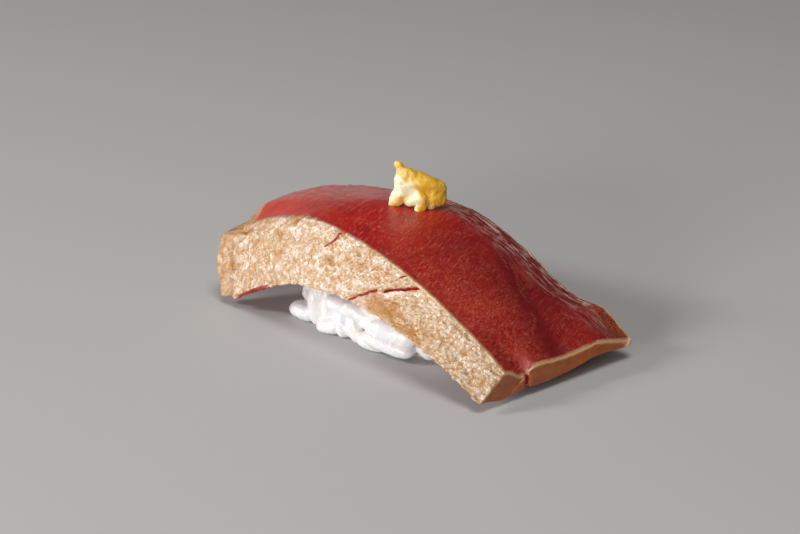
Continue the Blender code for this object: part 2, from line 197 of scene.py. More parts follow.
# The rice: a pressed pad under the slice, whose core lies a little inside its outline.
PAD_CENTRE = (-1.2, -1.0)
PAD_HALF_LENGTH = 19.8
PAD_HALF_WIDTH = 10.6
PAD_HEIGHT = 15.0
PAD_SQUARENESS = 3.2
PAD_CELLS = (66, 48, 24)
END_UNDERCUT = 5.0
UNDERCUT_HEIGHT = 4.5
CORE_INSET = 1.0
GRAIN_INSET = 1.3
GRAIN_LENGTH = 7.0
GRAIN_WIDTH = 3.7
GRAIN_THICKNESS = 3.1
GRAIN_BLUNTNESS = 0.22
GRAIN_BEND = 0.12
GRAIN_PLUMPNESS = 0.08
GRAIN_TAPER = 0.15
GRAIN_LUMPS = 0.07
GRAIN_LUMP_SIZE = 0.9
GRAIN_FACETS = (18, 14)
GRAIN_ROWS = 6
GRAINS_PER_ROW = 32
FIRST_ROW_HEIGHT = 1.3
GRAIN_ROW_HEIGHT = 1.9
GRAIN_LEANS = (0.0, 15.0, -20.0, 45.0, 75.0)
GRAIN_HEADROOM = 1.2
LOWEST_GRAIN = 0.04
RICE_CLEARANCE = 0.08
# What is left of a grain's shape where the slice or the floor flattens it.
SLACK_ABOVE = 0.1
SLACK_BELOW = 0.03
# The cell of the rice's fused skin, and how many times it is smoothed.
RICE_CELL = 0.22
RICE_SOFTENING = 2
# Where grains are placed one by one: the near side below this Y, between these two X.
FRONT_Y = -6.0
FRONT_X = (-14.0, 15.5)
# The grains that show at the near side: length, middle, lean out of the level and turn from X, in degrees.
FRONT_GRAINS = (
    (6.8, (-15.2, -11.2, 1.4), 1, 0), (7.6, (-12.1, -10.9, 3.1), -78, 0),
    (7.2, (-8.8, -10.9, 4.2), -87, 0), (7.0, (-10.4, -10.2, 5.8), -80, 0),
    (6.2, (-5.6, -10.9, 5.2), -12, 12), (6.4, (-5.2, -11.2, 2.6), -72, 5),
    (5.6, (-7.6, -11.8, 1.2), 14, 10), (6.4, (-1.6, -11.0, 5.2), -15, 20),
    (6.0, (-1.6, -11.3, 2.4), -65, 10), (9.4, (7.2, -11.4, 4.3), -6, 12),
    (9.8, (7.0, -11.9, 2.2), -7, 15), (6.0, (2.8, -11.8, 1.4), -4, 20),
    (4.4, (12.0, -8.2, 2.0), -20, 0), (7.0, (-2.6, -10.5, 1.4), -10, 4),
    (7.0, (2.2, -10.6, 4.4), 10, 5), (7.0, (2.4, -10.2, 7.2), 4, 0),
    (6.8, (-12.6, -10.0, 6.6), 20, 0), (5.0, (15.0, -7.4, 2.6), 20, -20),
)

# The dab of mustard: its place and turn, then how its lumps run together.
MUSTARD_FOOT = (-4.9, 6.6)
MUSTARD_TURN = 47.0
MUSTARD_CELL = 0.2
MUSTARD_THRESHOLD = 0.3
MUSTARD_SWELL = 1.35
MUSTARD_SINK = 0.15
MUSTARD_SLACK = 0.1
# Roughness of the dab, coarse to fine: height, size and the shift of its noise.
MUSTARD_ROUGHNESS = ((0.35, 1.9, 0.0), (0.16, 0.9, 0.0), (0.07, 0.4, 3.0))
# Gold places of the dab, or pale painted highlights if less than 0: their share, middle and radius.
MUSTARD_TINTS_AND_HIGHLIGHTS = (
    (1.1, (-3.4, -1.1, 1.4), 1.0), (0.7, (-4.6, -0.6, 0.3), 0.8),
    (1.1, (-0.5, -1.5, 0.3), 0.8), (-1.2, (-1.6, -1.1, 0.9), 0.7),
    (-0.5, (2.2, -1.2, 3.3), 0.5), (-0.4, (1.2, -1.3, 2.3), 0.4),
)
# Each lump of the dab: its radius, then its middle across, away and up from the foot.
MUSTARD_LUMPS = (
    (0.80, (-3.9, 0.2, 7.3)), (1.00, (-3.6, 0.2, 6.5)),
    (1.20, (-2.8, 0.2, 6.1)), (1.30, (-1.9, 0.2, 5.7)),
    (1.25, (-3.4, 0.2, 5.5)), (1.50, (-3.2, 0.2, 4.4)),
    (1.45, (-3.4, 0.1, 3.1)), (1.35, (-3.9, 0.1, 1.9)),
    (1.05, (-4.5, 0.2, 0.8)), (1.60, (-0.8, 0.2, 5.1)),
    (1.70, (-1.6, 0.4, 3.8)), (1.70, (0.3, 0.2, 4.6)),
    (1.70, (1.5, 0.3, 4.2)), (1.40, (2.6, 0.6, 3.9)),
    (2.20, (2.3, 1.0, 2.4)), (2.05, (1.3, 0.9, 1.6)),
    (1.80, (-0.4, 0.8, 1.9)), (1.50, (-0.4, -0.5, 2.2)),
    (1.10, (0.1, -0.8, 1.3)), (0.95, (-0.1, -1.0, 0.7)),
    (0.75, (-0.6, -1.2, 0.1)), (1.05, (-2.0, -0.1, 1.2)),
    (0.60, (-5.1, 0.1, 0.3)), (2.05, (-1.2, 1.6, 1.5)),
    (1.90, (0.8, 1.9, 1.5)),
)

# Colours of the raw flesh.
FLESH_REDS = ((0.31, 0.002, 0.005), (0.41, 0.006, 0.007))
FLESH_DULL = (0.24, 0.001, 0.004)
FLESH_SPECK = (0.46, 0.085, 0.03)
FLESH_HAIR = (0.54, 0.11, 0.06)
# A pale salmon veil at the left of the top: painted reflection.
FLESH_REFLECTION_HAZE = (0.55, 0.10, 0.065)
MAROON = (0.15, 0.0, 0.004)
FAR_BAND = (0.12, 0.001, 0.005)
# Pale streaks along the far edge: partly sinew, partly painted highlight.
FAR_SINEW_AND_HIGHLIGHT = (0.62, 0.38, 0.32)
SCRATCH = (0.60, 0.20, 0.12)
CORNER_BROWNS = ((0.13, 0.012, 0.006), (0.36, 0.12, 0.035))
CRACK_RED = (0.34, 0.012, 0.008)
# Colours of the seared crust.
CRUST_TANS = ((0.44, 0.24, 0.08), (0.50, 0.33, 0.17))
TAN_GRAIN = (0.38, 0.17, 0.04)
# Browner spots of the crust, and painted shade in its hollows.
BROWN_AND_HOLLOW_SHADE = (0.38, 0.15, 0.022)
# Cream on the crust's ridges: partly its own tone, partly painted highlight.
CREAM_AND_RIDGE_HIGHLIGHT = (0.74, 0.61, 0.46)
# Painted shade: dark specks that stand for small shaded pits.
PAINTED_PIT_SHADE = (0.36, 0.15, 0.022)
# Painted highlights on the crust: glints, a softer sheen and glare lines.
GLINT_WHITE = (1.0, 0.97, 0.95)
SHEEN_WHITE = (0.86, 0.80, 0.76)
GLARE_WHITE = (1.0, 0.94, 0.92)
# The right end's colours, darkened partly as painted shade.
END_BROWNS_AND_SHADE = ((0.37, 0.11, 0.035), (0.30, 0.08, 0.028))
RIM_PALE = (0.80, 0.56, 0.33)
# Colours of the rice, the mustard and the floor.
RICE_WHITES = ((0.74, 0.74, 0.76), (0.78, 0.76, 0.73))
RICE_CLOUD = (0.86, 0.86, 0.87)
# Cream and gold of the mustard: partly lit and shaded copies of one yellow, painted light and shade.
MUSTARD_LIT_AND_SHADED_YELLOWS = ((1.0, 0.93, 0.64), (0.80, 0.47, 0.03))
MUSTARD_GRAIN = (1.0, 0.84, 0.40)
FLOOR_COLOUR = (0.46, 0.455, 0.45)

# The studio: a wide floor, a faint surround and four lights.
FLOOR_SIZE = 4.0
SURROUND_COLOUR = (1.0, 0.96, 0.92, 1.0)
SURROUND_STRENGTH = 0.07
# Each light: name, where it shines from, distance, width and height in metres, watts and colour.
LIGHTS = (
    ("key", (-0.68, -0.65, 0.46), 0.9, 0.18, 0.18, 4.3, (1.0, 0.99, 0.99)),
    ("front", (0.18, -0.96, 0.20), 0.6, 0.30, 0.10, 2.7, (1.0, 0.99, 0.98)),
    ("top", (0.20, -0.10, 1.00), 0.6, 0.30, 0.30, 1.7, (1.0, 0.97, 0.95)),
    ("back", (-0.68, 0.73, 0.06), 0.9, 0.70, 0.08, 0.3, (1.0, 0.93, 0.88)),
)

# The camera looks at the near, right corner. The pixel is where its aim falls in the 800 by 534 frame.
CAMERA_AZIMUTH = 47.0
CAMERA_ELEVATION = 21.0
CAMERA_DISTANCE = 333.0
FRAME_WIDTH = 800
FRAME_HEIGHT = 534
FOCAL_PIXELS = 2000.0
SENSOR_WIDTH = 36.0
AIM = (0.5, -11.5, 0.0)
AIM_PIXEL = (365.0, 345.0)

# A height, in millimetres, above and below everything.
OUT_OF_REACH = 100.0


def held(value):
    """The value, or the nearer end of the stretch from 0 to 1."""
    return np.clip(value, 0.0, 1.0)


def smooth(value, low, high):
    """0 below low, 1 above high and a smooth step between them."""
    share = held((value - low) / (high - low))
    return share * share * (3.0 - 2.0 * share)


def fade(value, low, high):
    """1 below low, 0 above high and a smooth step between them."""
    return 1.0 - smooth(value, low, high)


def hump(value, centre, width):
    """A bell of height 1."""
    return np.exp(-(((value - centre) / width) ** 2))


def arch(along):
    """Height of the slice's top edges, from -1 at the left end to 1 at the right end."""
    left = np.clip((PEAK_ALONG - along) / (PEAK_ALONG + 1.0), 0.0, None) ** FALL_POWER
    right = np.clip((along - PEAK_ALONG) / (1.0 - PEAK_ALONG), 0.0, None) ** FALL_POWER
    return PEAK_HEIGHT - LEFT_DROP * left - RIGHT_DROP * right


def end_sag(along, across):
    """Depth of the facet that is pressed into the top of the right end, beside its crack."""
    return END_SAG * hump(along, 1.0, 0.1) * hump(across, -0.72, 0.14)


def top_height(along, across):
    """Height of the slice's top face: its arch, crown, and turns of the far edge and right end."""
    crown = CROWN * fade(along, 0.3, 1.0) * (1.0 - across**2)
    rise = LEFT_RISE * hump(along, -1.0, 0.3) * smooth(across, -1.0, -0.5)
    rise = rise * (1.0 - 0.4 * smooth(across, 0.5, 1.0))
    dips = sum(depth * hump(along, place, width) for depth, place, width in FAR_DIPS)
    fall = dips * smooth(across, -0.3, 0.9)
    flare = RIGHT_FLARE * hump(along, 0.82, 0.06) * smooth(across, 0.5, 1.0)
    droop = CORNER_DROOP * smooth(along, 0.82, 1.0) * smooth(across, 0.4, 1.0)
    dip = END_DIP * smooth(along, 0.7, 1.0) * hump(across, -0.1, 0.5)
    return arch(along) + crown + rise - fall + flare - droop - dip - end_sag(along, across)


def thickness(along, across):
    """Upright thickness of the slice."""
    near = THICK_RIGHT + (THICK_LEFT - THICK_RIGHT) * ((1.0 - along) / 2.0) ** TAPER_POWER
    thin_far = 1.0 - FAR_THINNING * (across + 1.0) / 2.0
    thin_tip = 1.0 - CORNER_THINNING * smooth(along, 0.5, 1.0) * smooth(across, 0.2, 1.0)
    left_round = 1.0 - LEFT_LIFT * smooth(-along, 0.86, 1.0)
    return near * thin_far * thin_tip * left_round - (1.0 - SAG_BELOW) * end_sag(along, across)


def slice_point(along, across, through):
    """A point of the slice. Each argument runs from -1 to 1: left to right, near to far, bottom to top."""
    share = (across + 1.0) / 2.0
    depth = (1.0 - through) / 2.0
    far_y = FAR_EDGE_LEFT_Y + (FAR_EDGE_RIGHT_Y - FAR_EDGE_LEFT_Y) * smooth(along, 0.4, 1.0)
    bevel = BEVEL_LEFT + (BEVEL_RIGHT - BEVEL_LEFT) * (along + 1.0) / 2.0
    at_left = hump(along, -1.0, LIP_HALF_LENGTH)
    bulge = 1.0 - BULGE_LEFT * smooth(-along, -0.2, 1.0) * (1.0 - 0.8 * at_left)
    lip = smooth(depth, *LIP_STEP) * (1.0 - 0.6 * smooth(depth, 0.2, 1.0))
    lip = lip * at_left * hump(across, -1.0, 0.25)
    near_face_y = NEAR_EDGE_Y - bevel * depth**bulge
    far_face_y = far_y - FAR_BEVEL * depth
    y = near_face_y + (far_face_y - near_face_y) * share - NEAR_LIP * lip
    left_x = LEFT_END_NEAR_X + (LEFT_END_FAR_X - LEFT_END_NEAR_X) * share**0.4
    left_x = left_x + LEFT_UNDERCUT * smooth(depth, 0.5, 1.0)
    right_x = RIGHT_END_NEAR_X + (RIGHT_END_FAR_X - RIGHT_END_NEAR_X) * share + RIGHT_SPREAD * depth
    x = left_x + (right_x - left_x) * (along + 1.0) / 2.0 - LEFT_LIP * lip
    z = top_height(along, across) - thickness(along, across) * depth
    return np.stack([x, y, z], axis=-1)


def noise_at(points, size, shift=0.0):
    """Smooth noise between about -1 and 1 at each point, with features of that size."""
    return np.array([noise.noise(Vector(point)) for point in points / size + shift])


def noise_vectors(points, size, shifts):
    """Smooth noise at each point as a vector, with one number for each shift."""
    return np.stack([noise_at(points, size, shift) for shift in shifts], axis=1)


def fractal_at(points, size):
    """Rougher noise at each point, of three sizes."""
    fade, step, sizes = 0.8, 2.1, 3
    return np.array([noise.fractal(Vector(point), fade, step, sizes) for point in points / size])


def cell_domes(points, size):
    """Domes of height 1, one for each irregular cell of that size, with creases between them."""
    nearest = np.array([noise.voronoi(Vector(point))[0][0] for point in points / size])
    return held(1.0 - nearest**2 * DOME_STEEPNESS)


def worms(points, size, width, shift):
    """Winding ridges of height 1 and about that half width, as a share of their spacing."""
    return held(1.0 - np.abs(noise_at(points, size, shift)) / width)


def distance_to_path(points, path):
    """Distance of each point from a path of straight stretches."""
    nearest = np.full(len(points), np.inf)
    for start, end in zip(path[:-1], path[1:]):
        run = end - start
        share = held((points - start) @ run / (run @ run))
        gap = np.linalg.norm(points - start - share[:, None] * run, axis=1)
        nearest = np.minimum(nearest, gap)
    return nearest


def grooves(points, paths):
    """Depth of the grooves at each point, and how far inside one of them it is, from 0 to 1."""
    depth_there = np.zeros(len(points))
    inside = np.zeros(len(points))
    for depth, half_width, places in paths:
        path = slice_point(*np.array(places).T)
        profile = np.exp(-((distance_to_path(points, path) / half_width) ** 2))
        depth_there = np.maximum(depth_there, depth * profile)
        inside = np.maximum(inside, profile)
    return depth_there, inside


def cube_grid(cells):
    """Points and outward quads of a cube from -1 to 1, with so many cells along X, Y and Z."""
    counts = np.array(cells)
    code = np.array([1, counts[0] + 1, (counts[0] + 1) * (counts[1] + 1)])
    quads = []
    for axis in range(3):
        first, second = [other for other in range(3) if other != axis]
        i, j = np.meshgrid(np.arange(counts[first]), np.arange(counts[second]), indexing="ij")
        for side in (0, counts[axis]):
            corners = []
            for step_i, step_j in ((0, 0), (1, 0), (1, 1), (0, 1)):
                place = np.zeros((i.size, 3), dtype=int)
                place[:, axis] = side
                place[:, first] = i.ravel() + step_i
                place[:, second] = j.ravel() + step_j
                corners.append(place @ code)
            faces = np.stack(corners, axis=1)
            outward = (side > 0) == (axis != 1)
            quads.append(faces if outward else faces[:, ::-1])
    codes, quads = np.unique(np.concatenate(quads), return_inverse=True)
    x = codes % (counts[0] + 1)
    y = codes // (counts[0] + 1) % (counts[1] + 1)
    z = codes // code[2]
    return 2.0 * np.stack([x, y, z], axis=1) / counts - 1.0, quads.reshape(-1, 4)


def mesh_from(name, points, faces):
    """A mesh from arrays of points and faces."""
    mesh = bpy.data.meshes.new(name)
    mesh.from_pydata(points.tolist(), [], faces.tolist())
    return mesh


def read_points(mesh):
    """The mesh's points as an array."""
    flat = np.zeros(3 * len(mesh.vertices))
    mesh.vertices.foreach_get("co", flat)
    return flat.reshape(-1, 3)


def write_points(mesh, points):
    """Moves the mesh's points to those of the array."""
    mesh.vertices.foreach_set("co", points.ravel())
    mesh.update()


def read_normals(mesh):
    """The mesh's point normals as an array."""
    flat = np.zeros(3 * len(mesh.vertices))
    mesh.vertex_normals.foreach_get("vector", flat)
    return flat.reshape(-1, 3)


def add_values(mesh, name, values):
    """Stores one number, or one vector, for each point, for the materials to read."""
    kind, field = ("FLOAT_VECTOR", "vector") if values.ndim == 2 else ("FLOAT", "value")
    mesh.attributes.new(name, kind, "POINT").data.foreach_set(field, values.ravel())


def placed(name, data):
    """An object in the scene that holds the data."""
    made = bpy.data.objects.new(name, data)
    bpy.context.scene.collection.objects.link(made)
    return made


def taken_mesh(thing):
    """The mesh that an object shows, which is then removed."""
    bpy.context.view_layer.update()
    depsgraph = bpy.context.evaluated_depsgraph_get()
    made = bpy.data.meshes.new_from_object(thing.evaluated_get(depsgraph))
    bpy.data.objects.remove(thing)
    return made


def add_piece(name, mesh, material, node):
    """Puts a mesh of millimetres in the scene as a piece that stands for a CAD node."""
    mesh.transform(Matrix.Scale(MM, 4))
    mesh.materials.append(material)
    mesh.shade_smooth()
    piece = placed(name, mesh)
    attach(piece, "root")
    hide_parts(node)
    return piece


def slice_cube():
    """The slice before it is bent: a cube of fine cells, finest on its near face."""
    mesh = mesh_from("tuna", *cube_grid(SLICE_CELLS))
    shape = bmesh.new()
    shape.from_mesh(mesh)
    near_side = -0.9999
    near = [edge for edge in shape.edges if all(vert.co.y < near_side for vert in edge.verts)]
    bmesh.ops.subdivide_edges(shape, edges=near, cuts=1, use_grid_fill=True)
    shape.to_mesh(mesh)
    shape.free()
    return mesh


def round_edges(cube):
    """Rounds the cube's edges so that those of the slice get their small radius."""
    half_thickness = thickness(cube[:, 0], cube[:, 1]) / 2.0
    half = np.stack([np.full(len(cube), HALF_LENGTH), np.full(len(cube), HALF_WIDTH), half_thickness], axis=1)
    radius = np.minimum(EDGE_RADIUS, 0.8 * half_thickness)[:, None]
    scaled = cube * half
    inner = np.clip(scaled, radius - half, half - radius)
    outward = scaled - inner
    return (inner + outward / np.linalg.norm(outward, axis=1, keepdims=True) * radius) / half


def spots(along, through, places):
    """How much each point of the near face lies in a spot, from 0 to 1."""
    share = np.zeros(len(along))
    for place_along, place_through, half_along, half_through in places:
        spot = hump(along, place_along, half_along) * hump(through, place_through, half_through)
        share = np.maximum(share, spot)
    return share


def near_crust(points, along, through):
    """The near seared face's fine relief, how ridged it is, and how much browner it is at each point, from
    browner spots and from painted shade in its hollows.
    """
    warp = noise_vectors(points, *WARP)
    warped = points + WARP_REACH * warp
    left = fade(along, *LUMPY_END)
    right = smooth(along, *BEADED_START)
    smooth_patch = spots(along, through, SMOOTH_PATCHES)
    stripes = spots(along, through, STRIPED_PATCHES)
    flake = spots(along, through, FLAKES)
    spotted = spots(along, through, BROWN_SPOTS)
    middle = (1.0 - left) * (1.0 - right) * (1.0 - 0.75 * smooth_patch) * (1.0 - 0.8 * stripes)
    wrinkles = middle * (0.7 * worms(warped, *FINE_WORMS) + 0.5 * worms(warped, *BROAD_WORMS))
    lumps = noise_at(points, 1.9, 21.0) + 0.6 * noise_at(points, 0.8, 4.4)
    beads = cell_domes(warped, BEAD_SIZE)
    small_beads = cell_domes(warped, SMALL_BEAD_SIZE)
    fibre_turn = 2.0 * math.pi * (points[:, 2] + 0.12 * warp[:, 0]) / FIBRE_SPACING
    fibres = np.sin(fibre_turn) * (0.5 + 0.5 * warp[:, 1])
    fine = noise_at(points, 0.35, 9.0)
    relief = WRINKLE_RELIEF * wrinkles
    relief += LUMP_RELIEF * lumps * (0.35 + 0.65 * left) * (1.0 - 0.6 * smooth_patch)
    relief += BEAD_RELIEF * (beads * (0.45 * left + right) * (1.0 - 0.8 * flake) + 0.3 * small_beads * right)
    relief += STRIPE_RELIEF * stripes * fibres + FLAKE_RELIEF * flake
    relief += GRAIN_RELIEF * fine
    ridge = wrinkles + (0.5 * left + 0.8 * right) * beads + 0.5 * stripes * (fibres + 1.0)
    ridge = held(ridge) * (1.0 - 0.6 * spotted)
    brown_and_hollow_shade = spotted * (0.95 + 0.45 * fine) + 0.25 * smooth_patch
    # Painted shade: browner where the lumps sink into hollows.
    brown_and_hollow_shade += 0.7 * smooth(-lumps, 0.1, 0.7) * (1.0 - 0.5 * left - 0.4 * right)
    brown_and_hollow_shade += 0.6 * fade(along, -0.97, -0.90)
    return relief, ridge, held(brown_and_hollow_shade)


def lower_crumbs(points, along, through):
    """How far the near face's lower edge stands out in crumbs and small jags."""
    low = smooth(-through, 0.72, 1.0)
    crumbs = np.clip(noise_at(points, 1.1, 30.0), 0.0, None)
    small_jags = np.clip(noise_at(points, 0.5, 31.0), 0.0, None)
    return low * (crumbs + 0.6 * small_jags) * (0.35 + 0.75 * smooth(along, 0.45, 0.7))


def flesh_relief(points, along, across):
    """Low waves of the cut flesh, and the fine ridges along its far edge."""
    waves = 0.10 * noise_at(points, 6.0, 2.0) + 0.03 * noise_at(points, 1.8, 8.0)
    far_band = smooth(across, 0.45, 0.85) * smooth(along, -0.6, 0.2)
    stretched = np.stack([points[:, 0] / 5.0, points[:, 1] / 0.5, points[:, 2] / 5.0], axis=1)
    ridges = 0.015 * far_band * noise_at(stretched, 1.0, 5.0)
    return waves + ridges


class Skin:
    """Where the slice's points lie: their places, distances from its edges, and faces."""

    def __init__(self, cube):
        self.along, self.across, self.through = cube.T
        self.from_near = (self.across + 1.0) * HALF_WIDTH
        self.from_far = (1.0 - self.across) * HALF_WIDTH
        self.from_left = (self.along + 1.0) * HALF_LENGTH
        self.from_right = (1.0 - self.along) * HALF_LENGTH
        self.from_top = (1.0 - self.through) / 2.0 * thickness(self.along, self.across)
        self.on_near = fade(self.from_near, 0.0, EDGE_FADE)
        on_far = fade(self.from_far, 0.0, EDGE_FADE)
        on_left = fade(self.from_left, 0.0, EDGE_FADE)
        self.on_right = fade(self.from_right, 0.0, EDGE_FADE) * (1.0 - self.on_near)
        self.craggy = np.maximum.reduce((self.on_near, on_far, on_left))
        self.corner = smooth(self.along, 0.72, 0.9) * smooth(self.across, 0.62, 0.92)
        raw_edge = smooth(-self.through, *RAW_EDGE_FADE) * hump(self.along, *RAW_EDGE_ALONG)
        self.raw_edge = raw_edge * self.on_near


def slice_relief(skin, points, crags, fine):
    """How far the crust and the flesh stand out, but for the cracks and folds."""
    relief = CRAG_RELIEF * crags * skin.craggy
    relief += fine * skin.craggy
    relief += CRUMB_RELIEF * lower_crumbs(points, skin.along, skin.through) * skin.on_near
    relief += END_RELIEF * noise_at(points, 1.5, 15.0) * skin.on_right
    relief += flesh_relief(points, skin.along, skin.across) * (1.0 - skin.craggy) * (1.0 - skin.on_right)
    return relief


def crust_share(skin, edge_noise):
    """How much crust each point shows: the side faces and uneven rims, but not the raw edge."""
    jagged = 0.15 + 1.5 * fade(skin.along, -0.5, -0.1)
    near_rim = fade(skin.from_near, 0.15, 0.45 + jagged * held(edge_noise))
    near_rim = near_rim * fade(skin.raw_edge, 0.3, 0.6)
    end_rim = fade(skin.from_right, 0.15, 0.55 + 0.3 * edge_noise)
    far_rim = fade(skin.from_far, 0.2, 0.6 + 0.3 * edge_noise)
    near_corner = fade(skin.across, -1.0, -0.45)
    left_inner = 0.3 + 1.6 * near_corner
    left_outer = 0.9 + 2.0 * near_corner + 0.4 * edge_noise
    left_rim = fade(skin.from_left, left_inner, left_outer)
    return np.maximum.reduce((near_rim, end_rim, far_rim, left_rim))


def pale_rim(skin, edge_noise):
    """The pale line along the upper edge of the near face, the far corner and the right end."""
    near_line = fade(skin.from_near, 0.1, 0.35) * fade(skin.from_top, 0.05, 0.3)
    near_line = near_line * smooth(skin.along, 0.0, 0.3)
    far_line = skin.corner * fade(skin.from_far, 0.3, 1.3 + 0.7 * edge_noise)
    end_line = 0.6 * skin.on_right * fade(skin.from_top, 0.05, 0.45 + 0.25 * edge_noise)
    return np.maximum.reduce((near_line, far_line, end_line))


def crust_values(skin, points, crags, ridge, brown_and_hollow_shade):
    """What the crust's colours read at each point, by name."""
    edge_noise = noise_at(points, 1.3, 70.0) + 0.7 * noise_at(points, 0.6, 71.0)
    left_sheen = 1.0 - 0.7 * smooth(skin.along, -0.1, 0.3)
    _, glare = grooves(points, GLARES)
    return {
        "crust": crust_share(skin, edge_noise),
        "end": skin.on_right,
        "rim": pale_rim(skin, edge_noise),
        # Where the painted glints, sheen and glare lines go.
        "glint": skin.on_near * held(0.35 + 0.7 * ridge - 0.5 * brown_and_hollow_shade),
        "sheen": skin.on_near * left_sheen * held(1.0 - brown_and_hollow_shade),
        "glare": glare,
        # Ridges take cream that is partly painted highlight.
        "ridge": held(ridge + 0.25 * crags),
        # Painted shade: browner in the hollows between crags.
        "brown_and_hollow_shade": held(brown_and_hollow_shade + 0.5 * held(-crags)),
    }


def maroon_share(skin):
    """How dark the red is, on a stripe at the right, the far right part and the raw edge."""
    stripe_across = 0.72 - 0.85 * smooth(skin.along, 0.1, 1.0)
    stripe = hump(skin.across, stripe_across, 0.22) * smooth(skin.along, 0.05, 0.4)
    deep = 0.5 * smooth(skin.along, -0.2, 0.3) * smooth(skin.across, -0.6, 0.2)
    return np.maximum.reduce((stripe, deep, skin.raw_edge))


def arc_share(skin, wobble):
    """How much each point of the top face lies on a pale line."""
    flat = np.stack([skin.along * HALF_LENGTH, skin.across * HALF_WIDTH], axis=1)
    flat = flat + ARC_WOBBLE * wobble[:, :2]
    arcs = np.zeros(len(flat))
    for half_width, places in PALE_ARCS:
        path = np.array(places) * (HALF_LENGTH, HALF_WIDTH)
        arcs = np.maximum(arcs, hump(distance_to_path(flat, path), 0.0, half_width))
    return arcs * smooth(skin.through, 0.9, 1.0)


def flesh_values(skin, wobble):
    """What the flesh's colours read at each point, by name."""
    along, across = skin.along, skin.across
    place_depth = skin.through * 5.0
    return {
        "corner": skin.corner,
        # Painted reflection: a pale, hazy veil over the left of the top.
        "reflection_haze": fade(along, -1.0, -0.15) * (1.0 - 0.5 * smooth(across, 0.0, 1.0)),
        "maroon": maroon_share(skin),
        "pale_band": smooth(across, 0.42, 0.92) * smooth(along, -0.7, 0.1) * (1.0 - skin.corner),
        "mottle": smooth(along, -0.1, 0.45) * fade(across, 0.0, 0.55),
        "arc": arc_share(skin, wobble),
        "place": np.stack([along * HALF_LENGTH, across * HALF_WIDTH, place_depth], axis=1),
    }


def build_tuna(material):
    """The slice of tuna: red flesh with a seared crust round its edges."""
    mesh = slice_cube()
    cube = read_points(mesh)
    skin = Skin(cube)
    points = slice_point(*round_edges(cube).T)
    write_points(mesh, points)
    crags = fractal_at(points, CRAG_SIZE)
    fine, ridge, brown_and_hollow_shade = near_crust(points, skin.along, skin.through)
    wobble = noise_vectors(points, *WOBBLE)
    crack_depth, crack = grooves(points + CRACK_WOBBLE * wobble, CRACKS)
    fold_depth, _ = grooves(points, FOLDS)
    relief = slice_relief(skin, points, crags, fine) - (crack_depth + fold_depth)
    points = np.clip(points + read_normals(mesh) * relief[:, None], BOX_LOW, BOX_HIGH)
    write_points(mesh, points)
    crust = crust_values(skin, points, crags, ridge, brown_and_hollow_shade)
    for name, values in {"crack": crack, **crust, **flesh_values(skin, wobble)}.items():
        add_values(mesh, name, values)
    return add_piece("tuna", mesh, material, "tuna_slice")


def surface_height(tree, x, y, from_below):
    """Height at which an upright line first meets the slice, from below or from above, or None."""
    upwards = 1.0 if from_below else -1.0
    start = Vector((x, y, -upwards * OUT_OF_REACH)) * MM
    hit = tree.ray_cast(start, Vector((0.0, 0.0, upwards)))[0]
    return None if hit is None else hit.z / MM


def tuck_under(points, tree, lowest):
    """Presses what would reach the slice flat under it, and what would reach the floor flat on it."""
    for point in points:
        ceiling = surface_height(tree, point[0], point[1], True)
        if ceiling is not None and point[2] > ceiling - RICE_CLEARANCE:
            excess = point[2] - (ceiling - RICE_CLEARANCE)
            point[2] = point[2] - excess + SLACK_ABOVE * excess / (1.0 + excess)
        if point[2] < lowest:
            depth = lowest - point[2]
            point[2] = lowest - SLACK_BELOW * depth / (1.0 + depth)
    return points


def half_length(height, inset):
    """Half the pad's length at a height above the floor, less the distance inside its outline."""
    return PAD_HALF_LENGTH - inset - END_UNDERCUT * fade(height, 0.0, UNDERCUT_HEIGHT)


def pad_outline(turn, height, inset):
    """A point of the pad's outline, a rounded rectangle: its turn from X, height and distance inside it."""
    power = 2.0 / PAD_SQUARENESS
    x = math.copysign(abs(math.cos(turn)) ** power, math.cos(turn)) * half_length(height, inset)
    y = math.copysign(abs(math.sin(turn)) ** power, math.sin(turn)) * (PAD_HALF_WIDTH - inset)
    return PAD_CENTRE[0] + x, PAD_CENTRE[1] + y


def rice_core(tree):
    """Points and faces of the inside of the pad, which fills the gaps between its grains."""
    cube, faces = cube_grid(PAD_CELLS)
    points = np.zeros_like(cube)
    for index, (x, y, z) in enumerate(cube):
        size = (abs(x) ** PAD_SQUARENESS + abs(y) ** PAD_SQUARENESS) ** (1.0 / PAD_SQUARENESS)
        shrink = max(abs(x), abs(y)) / size if size > 0.0 else 1.0
        reach_y = PAD_CENTRE[1] + y * shrink * (PAD_HALF_WIDTH - CORE_INSET)
        reach_x = PAD_CENTRE[0] + x * shrink * half_length(PAD_HEIGHT, CORE_INSET)
        room = surface_height(tree, reach_x, reach_y, True) - RICE_CLEARANCE
        height = (z + 1.0) / 2.0 * min(PAD_HEIGHT, room)
        points[index] = (PAD_CENTRE[0] + x * shrink * half_length(height, CORE_INSET), reach_y, height)
    return tuck_under(points, tree, 0.0), faces


def grain_points(sphere, length, middle, lean, turn, draw):
    """The points of one grain: a bent, uneven ellipsoid that leans and turns by some degrees."""
    points = sphere.copy()
    points[:, :2] *= (1.0 + GRAIN_BLUNTNESS * np.abs(points[:, 2:]) ** 1.5)
    bend = draw.uniform(-GRAIN_BEND, GRAIN_BEND)
    points[:, 0] += bend * (points[:, 2] ** 2 - 0.5)
    plumpness = draw.uniform(-GRAIN_PLUMPNESS, GRAIN_PLUMPNESS)
    points[:, 1] *= 1.0 + plumpness + draw.uniform(-GRAIN_TAPER, GRAIN_TAPER) * points[:, 2]
    lumps = noise_at(points + draw.uniform(0.0, 50.0), GRAIN_LUMP_SIZE)
    points = points * (1.0 + GRAIN_LUMPS * lumps[:, None])
    points = points * 0.5 * np.array((GRAIN_THICKNESS, GRAIN_WIDTH, length))
    aim = np.array(Euler((0.0, math.radians(90.0 - lean), math.radians(turn))).to_matrix())
    return points @ aim.T + np.array(middle)


def is_front(x, y):
    """Whether a grain would lie where the front grains are placed one by one."""
    return y < FRONT_Y and FRONT_X[0] < x < FRONT_X[1]


